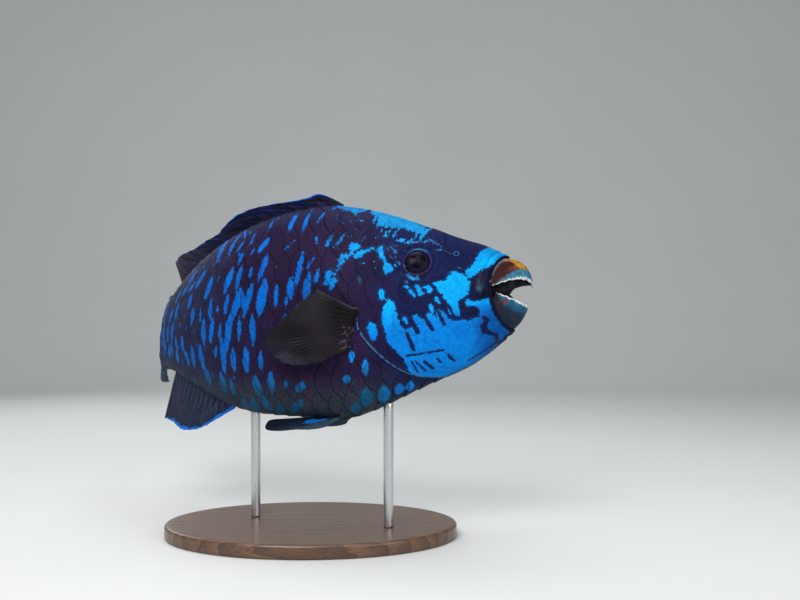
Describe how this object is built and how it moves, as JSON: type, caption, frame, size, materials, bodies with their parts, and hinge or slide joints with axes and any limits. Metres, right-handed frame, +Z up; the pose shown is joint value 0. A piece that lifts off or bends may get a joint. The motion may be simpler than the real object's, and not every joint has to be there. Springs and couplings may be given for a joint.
{
  "type": "midnight parrotfish",
  "caption": "Life-size model of a large midnight parrotfish, mouth open and tail swept to its left, held over an oval base by two short rods.",
  "frame": {"origin": "middle of the underside of the display stand's oval base", "axes": "+Z up; +X the way the head points; the fish's right side faces -Y and its tail swings round to +Y"},
  "size_m": [0.4415, 0.4034, 0.3521],
  "materials": {
    "skin": "moist satin skin under large scales, dark purple with bright blue marks",
    "fin": "thin rayed fins, slate navy with bright blue margins",
    "beak": "polished tooth plate, teal with ochre stain and white cutting edge",
    "eye": "wet black-maroon eye under a clear cornea",
    "stand_base": "dark oiled walnut",
    "stand_rod": "satin stainless steel"
  },
  "bodies": {
    "root": {"head": "skin", "gill_cover_right": "skin", "gill_cover_left": "skin", "trunk": "skin", "tail_stem": "skin", "dorsal_fin": "fin", "anal_fin": "fin", "caudal_fin": "fin", "pectoral_fin_right": "fin", "pectoral_fin_left": "fin", "pelvic_fin_right": "fin", "pelvic_fin_left": "fin", "beak_upper": "beak", "beak_lower": "beak", "eye_right": "eye", "eye_left": "eye", "stand_base": "stand_base", "stand_rod_front": "stand_rod", "stand_rod_rear": "stand_rod"}
  },
  "joints": []
}
